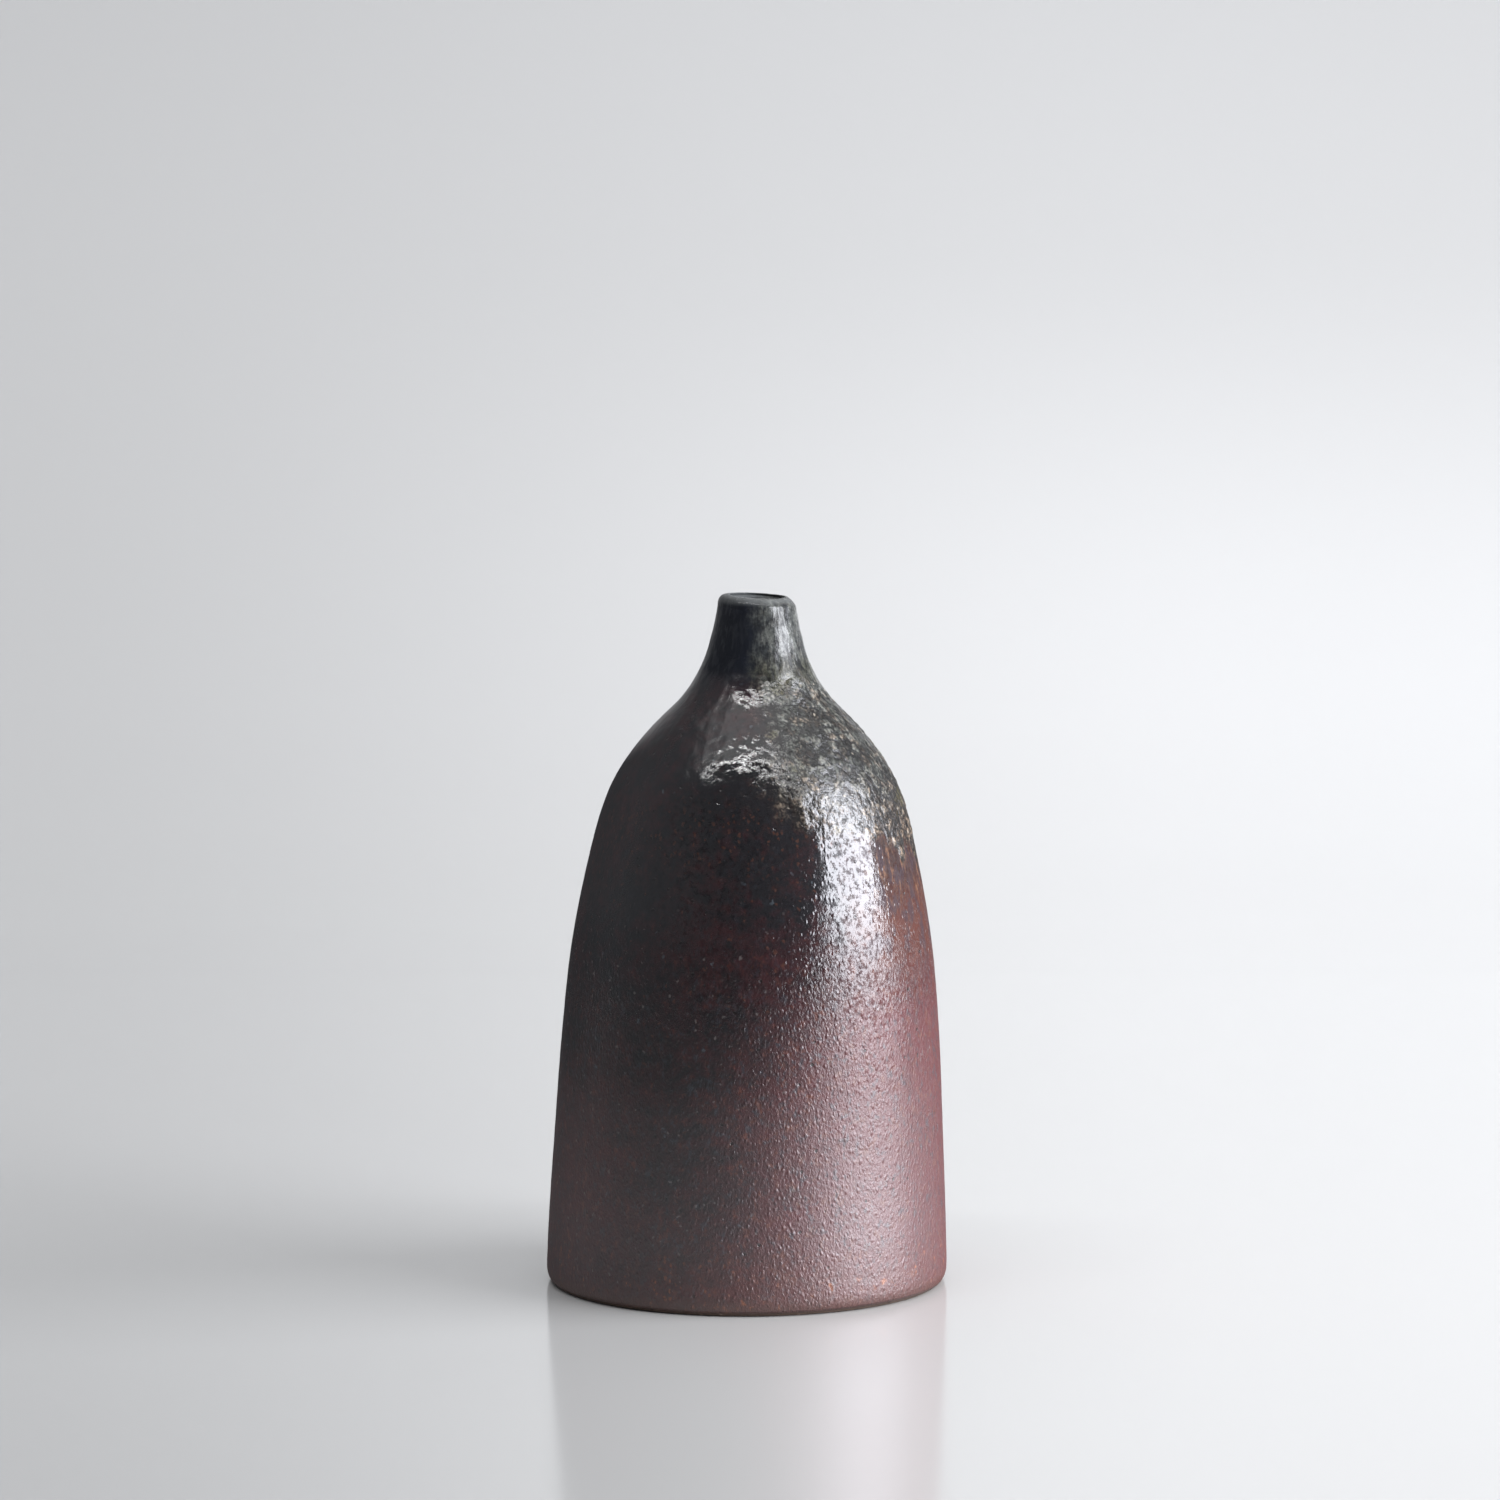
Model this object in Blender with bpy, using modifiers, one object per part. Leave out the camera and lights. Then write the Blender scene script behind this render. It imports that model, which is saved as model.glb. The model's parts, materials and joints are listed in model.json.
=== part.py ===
"""Sake bottle (tokkuri): a wheel-thrown stoneware vessel with its fired coats.

Four solids, from the clay outwards:
  stoneware_body  thrown clay: trimmed foot, floor, wall, shoulder, narrow neck and rounded lip
  iron_slip_coat  iron-bearing coat over the whole outside, from the heel of the foot to the lip
  ash_glaze_coat  ash glaze over the neck and shoulder, its lower edge hanging lower on one side
  liner_glaze     glaze lining the hollow

The coats are fused to the clay in the kiln. SKIN_GAP keeps the solids apart.
Lengths below are in millimetres and the scene is in metres. +Z is up, the origin is the centre
of the foot's resting ring, and -Y is the bottle's front.

Each piece is a path of (radius, height) points, turned about Z and then bent by handmade().
"""

import math

import bmesh
import bpy

MM = 0.001

# --- The thrown shape --------------------------------------------------------------------------
# (height, radius) of the iron coat's outer surface.
THROWN_FORM = (
    (4.4, 39.8),  # widest, just above the rounded heel
    (14.0, 39.45),
    (30.0, 38.6),
    (50.0, 37.4),  # belly, nearly straight
    (69.0, 35.5),
    (88.0, 31.8),
    (98.0, 28.8),  # shoulder turns in
    (104.5, 25.3),
    (110.5, 20.6),
    (117.0, 14.35),  # shoulder sweeps into the neck
    (123.0, 10.7),
    (129.0, 8.8),
    (134.4, 7.7),  # under the lip
)
# (height, radius) of the lining's wetted surface.
HOLLOW_FORM = (
    (14.5, 34.5),
    (30.0, 34.3),
    (50.0, 33.2),
    (69.0, 31.3),
    (87.0, 27.9),
    (97.0, 24.7),
    (104.0, 20.7),
    (110.5, 15.3),
    (117.5, 8.9),
    (124.0, 5.7),
    (130.0, 4.8),
    (135.0, 4.65),
)

LIP_CREST_R = 5.5  # radius of the circle along the top of the lip
LIP_CREST_Z = 136.7
LIP_INNER_R = 4.6
LIP_INNER_Z = 135.5
LIP_OUTER_Z, LIP_OUTER_R = THROWN_FORM[-1]
NECK_BASE_Z = 121.0  # the rings are spaced afresh below this

FOOT_RING_OUTER_R = 38.0  # the flat ring that rests on the table
FOOT_RING_INNER_R = 31.0
FOOT_RECESS_R = 29.8
FOOT_RECESS_DEPTH = 1.2  # trimmed hollow under the floor
HEEL_Z = 3.0  # height of the rounded edge outside the ring
FLOOR_TOP_Z = 6.4
FLOOR_CORNER = 8.0  # radius inside, where the floor meets the wall
HOLLOW_SHOULDER_Z = 97.0  # the hollow's rings crowd together above this

# --- Coats -------------------------------------------------------------------------------------
IRON_COAT = 0.30
ASH_COAT = 0.30
ASH_COAT_AT_EDGE = 0.12
LINER_COAT = 0.25
SKIN_GAP = 0.06
IRON_COAT_END = 52.0  # degrees round the heel to where the iron coat stops, about 0.6 mm up

# --- Handmade irregularity ---------------------------------------------------------------------
ASH_EDGE_Z = 97.0  # mean height of the ash glaze's lower edge
ASH_EDGE_DROP = 8.5  # it hangs this much lower on one side and higher on the other
ASH_EDGE_SIDE = math.radians(-10.0)  # the low side: +X, turned a little to the front
ASH_EDGE_WAVE = 1.5  # and wanders in lobes by this much
ASH_EDGE_LOBES = 3
ASH_EDGE_LOBE_START = math.radians(40.0)

WANDER_FROM_Z = 30.0  # the wander grows from here to the ash edge
WANDER_TO_Z = 128.0  # and has died away again here
WANDER_REACH = 1.2  # it moves only points this close to the thrown form
HEEL_CLEAR_Z = HEEL_Z + 1.0  # and above this

LEAN = 0.0155  # the wall leans this much to +X for each unit of height
RIM_TILT = 0.055  # the lip dips this much for each unit towards +X
RIM_TILT_FROM_Z = 116.0

# --- Mesh resolution ---------------------------------------------------------------------------
SEGMENTS = 36
LIP_INNER_RINGS = 2
LIP_OUTER_RINGS = 3
NECK_RINGS = 3
SHOULDER_RINGS = 9
WALL_RINGS = 9
WALL_CROWDING = 1.35  # over 1 crowds the wall's rings towards the shoulder, where it curves most
HEEL_RINGS = 3
FOOT_EDGE_RINGS = 3
HOLLOW_RINGS = 15
HOLLOW_WALL_RINGS = HOLLOW_RINGS // 3  # those below the hollow's shoulder
CORNER_RINGS = 3

MERGE_DISTANCE = 0.02 * MM  # joins the turned mesh's seam and poles
SHARP_ANGLE = math.radians(40.0)

# Where the ash glaze starts and stops along the outer skin's path.
CREST_INDEX = LIP_INNER_RINGS
ASH_EDGE_INDEX = CREST_INDEX + LIP_OUTER_RINGS + NECK_RINGS + SHOULDER_RINGS


# --- Curves ------------------------------------------------------------------------------------
def smoothly(low, high, value):
    """0 below low, 1 above high, with no kink at either end."""
    share = min(1.0, max(0.0, (value - low) / (high - low)))
    return share * share * (3.0 - 2.0 * share)


def radius_at(form, z):
    """The radius at a height, on a smooth cubic curve through the form's stations."""
    if z <= form[0][0]:
        return form[0][1]
    if z >= form[-1][0]:
        return form[-1][1]
    below = max(i for i in range(len(form) - 1) if form[i][0] <= z)

    def slope(station):
        before = form[max(station - 1, 0)]
        after = form[min(station + 1, len(form) - 1)]
        return (after[1] - before[1]) / (after[0] - before[0])

    (low_z, low_radius), (high_z, high_radius) = form[below], form[below + 1]
    span = high_z - low_z
    share = (z - low_z) / span
    return (
        (2 * share**3 - 3 * share**2 + 1) * low_radius
        + (share**3 - 2 * share**2 + share) * span * slope(below)
        + (-2 * share**3 + 3 * share**2) * high_radius
        + (share**3 - share**2) * span * slope(below + 1)
    )


def evenly(start, end, count):
    """count values after start, the last of them end."""
    return [start + (end - start) * (i + 1) / count for i in range(count)]


def arc(centre, across, up, start, end, count):
    """count points on an elliptical arc, after its start angle; angles are in degrees."""
    return [
        (centre[0] + across * math.cos(angle), centre[1] + up * math.sin(angle))
        for angle in evenly(math.radians(start), math.radians(end), count)
    ]


def offset(path, distance):
    """The path moved off the clay by distance, which is to its left, or into it if negative."""
    moved = []
    for i, (radius, z) in enumerate(path):
        before, after = path[max(i - 1, 0)], path[min(i + 1, len(path) - 1)]
        run, rise = after[0] - before[0], after[1] - before[1]
        length = math.hypot(run, rise)
        moved.append((radius - distance * rise / length, z + distance * run / length))
    return moved


def behind_wetted(wetted, depth):
    """The wetted skin moved into the clay, still starting on the axis."""
    moved = offset(wetted, -depth)
    moved[0] = (0.0, moved[0][1])
    return moved


# --- Skins -------------------------------------------------------------------------------------
def outer_skin():
    """The iron coat's outer surface, from inside the lip, over it and down round the heel."""
    lip_in = arc(
        centre=(LIP_CREST_R, LIP_INNER_Z),
        across=LIP_CREST_R - LIP_INNER_R,
        up=LIP_CREST_Z - LIP_INNER_Z,
        start=180,
        end=90,
        count=LIP_INNER_RINGS,
    )
    lip_out = arc(
        centre=(LIP_CREST_R, LIP_OUTER_Z),
        across=LIP_OUTER_R - LIP_CREST_R,
        up=LIP_CREST_Z - LIP_OUTER_Z,
        start=90,
        end=0,
        count=LIP_OUTER_RINGS,
    )
    heights = evenly(LIP_OUTER_Z, NECK_BASE_Z, NECK_RINGS)
    heights += evenly(NECK_BASE_Z, ASH_EDGE_Z, SHOULDER_RINGS)
    heights += [
        ASH_EDGE_Z - (ASH_EDGE_Z - HEEL_Z) * share**WALL_CROWDING
        for share in evenly(0.0, 1.0, WALL_RINGS)
    ]
    wall = [(radius_at(THROWN_FORM, z), z) for z in heights]
    heel = arc(
        centre=(FOOT_RING_OUTER_R, HEEL_Z),
        across=wall[-1][0] - FOOT_RING_OUTER_R,
        up=HEEL_Z,
        start=0,
        end=-IRON_COAT_END,
        count=HEEL_RINGS,
    )
    return [(LIP_INNER_R, LIP_INNER_Z)] + lip_in + lip_out + wall + heel


def wetted_skin():
    """The lining's inner surface, from the floor's centre out and up to the lip."""
    corner_r = HOLLOW_FORM[0][1] - FLOOR_CORNER
    corner_z = FLOOR_TOP_Z + FLOOR_CORNER
    floor = [(radius, FLOOR_TOP_Z) for radius in (0.0, corner_r * 0.5, corner_r)]
    corner = arc((corner_r, corner_z), FLOOR_CORNER, FLOOR_CORNER, -90, 0, CORNER_RINGS)
    heights = evenly(corner[-1][1], HOLLOW_SHOULDER_Z, HOLLOW_WALL_RINGS)
    heights += evenly(HOLLOW_SHOULDER_Z, HOLLOW_FORM[-1][0], HOLLOW_RINGS - HOLLOW_WALL_RINGS)
    return floor + corner + [(radius_at(HOLLOW_FORM, z), z) for z in heights]


def handmade(radius, angle, z):
    """Where a turned point ends up, in metres: the glaze line wanders, and the wall leans."""
    stands_off = radius - radius_at(THROWN_FORM, z)
    if abs(stands_off) < WANDER_REACH and z > HEEL_CLEAR_Z:
        share = smoothly(WANDER_FROM_Z, ASH_EDGE_Z, z)
        share *= 1.0 - smoothly(ASH_EDGE_Z, WANDER_TO_Z, z)
        wander = ASH_EDGE_DROP * math.cos(angle - ASH_EDGE_SIDE)
        wander += ASH_EDGE_WAVE * math.cos(ASH_EDGE_LOBES * angle - ASH_EDGE_LOBE_START)
        # The point slides along the form, so the wall keeps its shape.
        z -= share * wander
        radius = radius_at(THROWN_FORM, z) + stands_off
    x, y = radius * math.cos(angle), radius * math.sin(angle)
    z -= RIM_TILT * x * smoothly(RIM_TILT_FROM_Z, LIP_CREST_Z, z)
    return (x + LEAN * z) * MM, y * MM, z * MM


# --- Building ----------------------------------------------------------------------------------
def glaze(name, colour, roughness, coat):
    """A fired surface; coat is the weight of the clear gloss over its colour."""
    material = bpy.data.materials.new(name)
    material.use_nodes = True
    shader = material.node_tree.nodes["Principled BSDF"]
    shader.inputs["Base Color"].default_value = (*colour, 1.0)
    shader.inputs["Roughness"].default_value = roughness
    shader.inputs["Metallic"].default_value = 0.0
    shader.inputs["Coat Weight"].default_value = coat
    material.diffuse_color = (*colour, 1.0)
    return material


def spun(name, path, closed, collection):
    """A mesh turned about Z from a path in the XZ plane; a closed path joins its ends."""
    count = len(path)
    edges = [(i, i + 1) for i in range(count - 1)]
    if closed:
        edges.append((count - 1, 0))
    profile = bpy.data.meshes.new(name + "_profile")
    profile.from_pydata([(radius * MM, 0.0, z * MM) for radius, z in path], edges, [])
    blank = bpy.data.objects.new(name + "_blank", profile)
    collection.objects.link(blank)
    screw = blank.modifiers.new("wheel", "SCREW")
    screw.axis = "Z"
    screw.angle = 2.0 * math.pi
    screw.steps = screw.render_steps = SEGMENTS
    screw.use_merge_vertices = True
    screw.merge_threshold = MERGE_DISTANCE
    graph = bpy.context.evaluated_depsgraph_get()
    mesh = bpy.data.meshes.new_from_object(blank.evaluated_get(graph), depsgraph=graph)
    mesh.name = name
    bpy.data.objects.remove(blank)
    bpy.data.meshes.remove(profile)
    return mesh


def make_handmade(mesh):
    """Bend the turned mesh and split its faces into triangles."""
    shaped = bmesh.new()
    shaped.from_mesh(mesh)
    for vertex in shaped.verts:
        x, y, z = (value / MM for value in vertex.co)
        vertex.co = handmade(math.hypot(x, y), math.atan2(y, x), z)
    # The same diagonal in every coat, so that the coats nest.
    bmesh.ops.triangulate(shaped, faces=shaped.faces[:], quad_method="SHORT_EDGE")
    shaped.to_mesh(mesh)
    shaped.free()


def add_piece(name, path, closed, material, collection):
    mesh = spun(name, path, closed, collection)
    make_handmade(mesh)
    mesh.shade_smooth()
    mesh.set_sharp_from_angle(angle=SHARP_ANGLE)
    mesh.materials.clear()
    mesh.materials.append(material)
    collection.objects.link(bpy.data.objects.new(name, mesh))


def section(outer, inner):
    """The path out along one skin and back along another that runs the same way."""
    return list(outer) + list(reversed(inner))


# --- Pieces ------------------------------------------------------------------------------------
def add_body(skin, wetted, collection):
    """The clay: up the hollow, over the lip, down the wall, round the heel, under the foot."""
    inside = behind_wetted(wetted, LINER_COAT + SKIN_GAP)
    outside = offset(skin, -(IRON_COAT + SKIN_GAP))
    heel_r, heel_z = outside[-1]
    foot_edge = arc(
        centre=(FOOT_RING_OUTER_R, heel_z),
        across=heel_r - FOOT_RING_OUTER_R,
        up=heel_z,
        start=0,
        end=-90,
        count=FOOT_EDGE_RINGS,
    )
    under = [
        (FOOT_RING_INNER_R, 0.0),
        (FOOT_RECESS_R, FOOT_RECESS_DEPTH),
        (FOOT_RECESS_R * 0.5, FOOT_RECESS_DEPTH),
        (0.0, FOOT_RECESS_DEPTH),
    ]
    clay = glaze("bare_stoneware", colour=(0.10, 0.068, 0.055), roughness=0.85, coat=0.0)
    path = inside + outside + foot_edge + under
    add_piece("stoneware_body", path, False, clay, collection)


def add_iron_slip(skin, collection):
    slip = glaze("iron_slip", colour=(0.055, 0.022, 0.022), roughness=0.40, coat=0.2)
    path = section(skin, offset(skin, -IRON_COAT))
    add_piece("iron_slip_coat", path, True, slip, collection)


def add_ash_glaze(skin, collection):
    """From the lip's crest down to the wandering edge, where the glaze thins."""
    inner = offset(skin, SKIN_GAP)[CREST_INDEX : ASH_EDGE_INDEX + 1]
    outer = offset(skin, SKIN_GAP + ASH_COAT)[CREST_INDEX:ASH_EDGE_INDEX]
    outer.append(offset(skin, SKIN_GAP + ASH_COAT_AT_EDGE)[ASH_EDGE_INDEX])
    ash = glaze("ash_glaze", colour=(0.075, 0.080, 0.070), roughness=0.22, coat=0.6)
    add_piece("ash_glaze_coat", section(outer, inner), True, ash, collection)


def add_liner(wetted, collection):
    """Both ends of its path lie on the axis, so it stays open."""
    liner = glaze("liner_glaze", colour=(0.045, 0.038, 0.034), roughness=0.30, coat=0.3)
    path = section(wetted, behind_wetted(wetted, LINER_COAT))
    add_piece("liner_glaze", path, False, liner, collection)


def main():
    for obj in list(bpy.data.objects):
        bpy.data.objects.remove(obj, do_unlink=True)
    bottle = bpy.data.collections.new("sake_bottle")
    bpy.context.scene.collection.children.link(bottle)

    skin = outer_skin()
    wetted = wetted_skin()
    add_body(skin, wetted, bottle)
    add_iron_slip(skin, bottle)
    add_ash_glaze(skin, bottle)
    add_liner(wetted, bottle)


main()
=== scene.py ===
"""Stoneware sake bottle: thrown clay, an iron coat, an ash glaze over its shoulder, and a lining.

The bottle stands on z = 0 about the Z axis, leaning slightly to +X. Its front faces -Y and the
camera, so +X is its right, the side that faced the fire. Each of the four CAD solids is replaced
by a finely modelled piece. The bottle's sizes are in mm, the studio's in metres.
"""

import json
import math
from itertools import product

import bpy
import numpy as np
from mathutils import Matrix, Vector

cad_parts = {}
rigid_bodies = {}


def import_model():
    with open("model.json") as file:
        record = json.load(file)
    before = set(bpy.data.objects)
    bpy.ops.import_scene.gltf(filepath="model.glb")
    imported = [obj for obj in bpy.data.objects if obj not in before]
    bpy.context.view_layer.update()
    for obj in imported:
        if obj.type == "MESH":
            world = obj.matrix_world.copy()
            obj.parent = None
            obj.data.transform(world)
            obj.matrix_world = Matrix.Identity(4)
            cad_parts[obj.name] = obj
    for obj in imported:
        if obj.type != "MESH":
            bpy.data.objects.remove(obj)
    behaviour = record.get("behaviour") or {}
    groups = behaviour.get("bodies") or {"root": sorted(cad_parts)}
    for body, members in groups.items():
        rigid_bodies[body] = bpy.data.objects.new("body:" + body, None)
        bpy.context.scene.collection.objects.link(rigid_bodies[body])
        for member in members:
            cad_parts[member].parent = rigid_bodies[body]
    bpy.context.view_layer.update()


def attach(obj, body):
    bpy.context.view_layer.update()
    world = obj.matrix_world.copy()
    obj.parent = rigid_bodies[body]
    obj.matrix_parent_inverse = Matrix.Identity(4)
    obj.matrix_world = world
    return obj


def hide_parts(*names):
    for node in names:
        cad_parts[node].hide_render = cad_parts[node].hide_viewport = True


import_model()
COARSER = 1.0  # factor on every mesh spacing
MM = 0.001

# --- the thrown form ---------------------------------------------------------------------------
# Stations of the outer and the inner wall: (z, radius).
THROWN_FORM = (
    (4.4, 39.8), (14.0, 39.45), (30.0, 38.6), (50.0, 37.4), (69.0, 35.5), (88.0, 31.8),
    (98.0, 28.8), (104.5, 25.3), (110.5, 20.6), (117.0, 14.35), (123.0, 10.7), (129.0, 8.8),
    (134.4, 7.7),
)
HOLLOW_FORM = (
    (14.5, 34.5), (30.0, 34.3), (50.0, 33.2), (69.0, 31.3), (87.0, 27.9), (97.0, 24.7),
    (104.0, 20.7), (110.5, 15.3), (117.5, 8.9), (124.0, 5.7), (130.0, 4.8), (135.0, 4.65),
)
LIP_CREST_R, LIP_CREST_Z = 5.5, 136.7
LIP_INNER_R, LIP_INNER_Z = 4.6, 135.5
FOOT_RING_OUTER_R, FOOT_RING_INNER_R = 38.0, 31.0
FOOT_RECESS_R, FOOT_RECESS_DEPTH = 29.8, 1.2
HEEL_Z, COAT_END_Z, COAT_FULL_Z = 3.0, 0.7, 4.2
FLOOR_TOP_Z, FLOOR_CORNER = 6.4, 8.0
IRON_COAT, LINER_COAT, SKIN_GAP = 0.30, 0.25, 0.06  # thicknesses
ASH_BACK_DEPTH = 0.17  # of the ash glaze's back under the surface
ASH_EDGE_Z, ASH_EDGE_DROP, ASH_EDGE_SIDE = 97.0, 8.5, math.radians(-10)
ASH_EDGE_WAVE, ASH_EDGE_LOBES, ASH_EDGE_LOBE_START = 1.5, 3, math.radians(40)
ASH_LENGTH = 62.0  # down the wall, sets the number of rows
RING_PITCH, FOOT_LINE_PITCH, RECESS_MARK_PITCH = 5.2, 1.8, 2.1
LEAN, RIM_TILT, RIM_TILT_FROM_Z = 0.0155, 0.055, 116.0
COAT_COLUMNS, CLAY_COLUMNS, LINER_COLUMNS = (int(count / COARSER) for count in (420, 260, 160))


# --- curves: arrays of (radius, z) -------------------------------------------------------------
def smoothstep(low, high, value):
    share = np.clip((np.asarray(value, float) - low) / (high - low), 0.0, 1.0)
    return share * share * (3.0 - 2.0 * share)


def radius_at(form, z):
    """The radius at each height, on a smooth curve through the form's stations."""
    heights, radii = np.array(form).T
    i = np.arange(len(heights))
    before, after = np.maximum(i - 1, 0), np.minimum(i + 1, i[-1])
    slopes = (radii[after] - radii[before]) / (heights[after] - heights[before])
    z = np.clip(z, heights[0], heights[-1])
    i = np.clip(np.searchsorted(heights, z, side="right") - 1, 0, len(heights) - 2)
    span = heights[i + 1] - heights[i]
    part = (z - heights[i]) / span
    return (
        (2 * part**3 - 3 * part**2 + 1) * radii[i]
        + (part**3 - 2 * part**2 + part) * span * slopes[i]
        + (-2 * part**3 + 3 * part**2) * radii[i + 1]
        + (part**3 - part**2) * span * slopes[i + 1]
    )


def arc(centre, across, up, start, end, count):
    """An elliptical arc with half axes across and up, between two angles in degrees."""
    angle = np.radians(np.linspace(start, end, count))
    return np.column_stack([centre[0] + across * np.cos(angle), centre[1] + up * np.sin(angle)])


def lengths_along(path):
    return np.concatenate([[0.0], np.cumsum(np.hypot(*np.diff(path, axis=0).T))])


def resampled(path, spacing):
    """Points along the path at the spacing given by spacing(z)."""
    along = lengths_along(path)
    fine = np.linspace(0.0, along[-1], max(2000, int(along[-1] * 60)))
    radius, z = np.interp(fine, along, path[:, 0]), np.interp(fine, along, path[:, 1])
    density = 1.0 / ((spacing(z) + 0 * z) * COARSER)
    count = np.concatenate([[0.0], np.cumsum(0.5 * (density[1:] + density[:-1]) * np.diff(fine))])
    rows = max(2, int(round(count[-1])) + 1)
    chosen = np.interp(np.linspace(0.0, count[-1], rows), count, fine)
    return np.column_stack([np.interp(chosen, fine, radius), np.interp(chosen, fine, z)])


def normals_of(path):
    """Unit normals to the left of the path."""
    ahead = np.gradient(path, axis=0)
    ahead /= np.maximum(np.hypot(ahead[:, 0], ahead[:, 1]), 1e-9)[:, None]
    return np.column_stack([-ahead[:, 1], ahead[:, 0]])


def moved(path, distance):
    """The path moved to its left by a distance, one for all points or one for each."""
    return path + normals_of(path) * np.reshape(distance, (-1, 1))


def outer_path():
    """The finished outside from the mouth over the lip and down to the resting face."""
    (foot_z, foot_r), (top_z, top_r) = THROWN_FORM[0], THROWN_FORM[-1]
    lip_in = arc(
        (LIP_CREST_R, LIP_INNER_Z), LIP_CREST_R - LIP_INNER_R, LIP_CREST_Z - LIP_INNER_Z, 180, 90, 60
    )
    lip_out = arc((LIP_CREST_R, top_z), top_r - LIP_CREST_R, LIP_CREST_Z - top_z, 90, 0, 60)
    z = np.linspace(top_z, foot_z, 3000)[1:]
    wall = np.column_stack([radius_at(THROWN_FORM, z), z])
    heel = arc((FOOT_RING_OUTER_R, HEEL_Z), foot_r - FOOT_RING_OUTER_R, HEEL_Z, 0, -90, 200)
    return np.concatenate([lip_in, lip_out[1:], wall, heel])


def wetted_path():
    """The finished inside from the middle of the floor up to the mouth."""
    corner = (HOLLOW_FORM[0][1] - FLOOR_CORNER, FLOOR_TOP_Z + FLOOR_CORNER)
    floor = np.column_stack([np.linspace(0.0, corner[0], 40), np.full(40, FLOOR_TOP_Z)])
    turn = arc(corner, FLOOR_CORNER, FLOOR_CORNER, -90, 0, 30)
    z = np.linspace(corner[1], HOLLOW_FORM[-1][0], 1500)[1:]
    return np.concatenate([floor, turn[1:], np.column_stack([radius_at(HOLLOW_FORM, z), z])])


# --- repeatable noise --------------------------------------------------------------------------
def scramble(i, j, k, seed):
    """A number from 0 to 1 for each whole-numbered cell."""
    bits = (i * 73856093) ^ (j * 19349663) ^ (k * 83492791) ^ (seed * 374761393 + 1013904223)
    bits &= 0xFFFFFFFF
    bits = ((bits ^ (bits >> 15)) * 2246822519) & 0xFFFFFFFF
    bits = ((bits ^ (bits >> 13)) * 3266489917) & 0xFFFFFFFF
    return (bits ^ (bits >> 16)) / 4294967296.0


def in_cells(points, scale):
    """The cell each point lies in, and its place within that cell."""
    scaled = np.asarray(points, float) / scale
    cell = np.floor(scaled).astype(np.int64)
    return cell, scaled - cell


def noise(points, scale, seed):
    """Gradient noise, about -1 to 1, with features about scale mm across."""
    cell, inside = in_cells(points, scale)
    ease = inside * inside * inside * (inside * (inside * 6.0 - 15.0) + 10.0)
    total = 0.0
    for offset in product((0, 1), repeat=3):
        i, j, k = (cell[..., axis] + offset[axis] for axis in range(3))
        weight, dot = 1.0, 0.0
        for axis in range(3):
            slope = scramble(i, j, k, seed + 101 * axis) * 2 - 1
            dot = dot + slope * (inside[..., axis] - offset[axis])
            weight = weight * (ease[..., axis] if offset[axis] else 1 - ease[..., axis])
        total = total + weight * dot
    return total * 1.9


def cells(points, scale, seed):
    """(distance to the nearest cell centre, to the next, a number for the cell), in cells."""
    cell, inside = in_cells(points, scale)
    first = np.full(inside.shape[:-1], 9.0)
    second = first.copy()
    mark = np.zeros_like(first)
    for offset in product((-1, 0, 1), repeat=3):
        i, j, k = (cell[..., axis] + offset[axis] for axis in range(3))
        square = 0.0
        for axis, seed_step in enumerate((0, 7, 13)):
            gap = offset[axis] + scramble(i, j, k, seed + seed_step) - inside[..., axis]
            square = square + gap * gap
        distance = np.sqrt(square)
        nearer = distance < first
        second = np.where(nearer, first, np.minimum(second, distance))
        mark = np.where(nearer, scramble(i, j, k, seed + 29), mark)
        first = np.where(nearer, distance, first)
    return first, second, mark


# --- the glaze fields, the same for both coats -------------------------------------------------
def from_front(theta):
    """Degrees round the bottle from its front, positive to the right, -180 to 180."""
    return np.degrees(np.mod(theta + math.pi / 2 + math.pi, 2 * math.pi) - math.pi)


def ash_side(theta):
    """1 on the side that faced the fire, 0 on the far side."""
    return smoothstep(-0.30, 0.90, np.cos(theta - ASH_EDGE_SIDE))


def ash_edge(theta):
    """Mean height of the ash glaze's lower edge."""
    return (
        ASH_EDGE_Z
        - ASH_EDGE_DROP * np.cos(theta - ASH_EDGE_SIDE)
        - ASH_EDGE_WAVE * np.cos(ASH_EDGE_LOBES * theta - ASH_EDGE_LOBE_START)
    )


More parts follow.
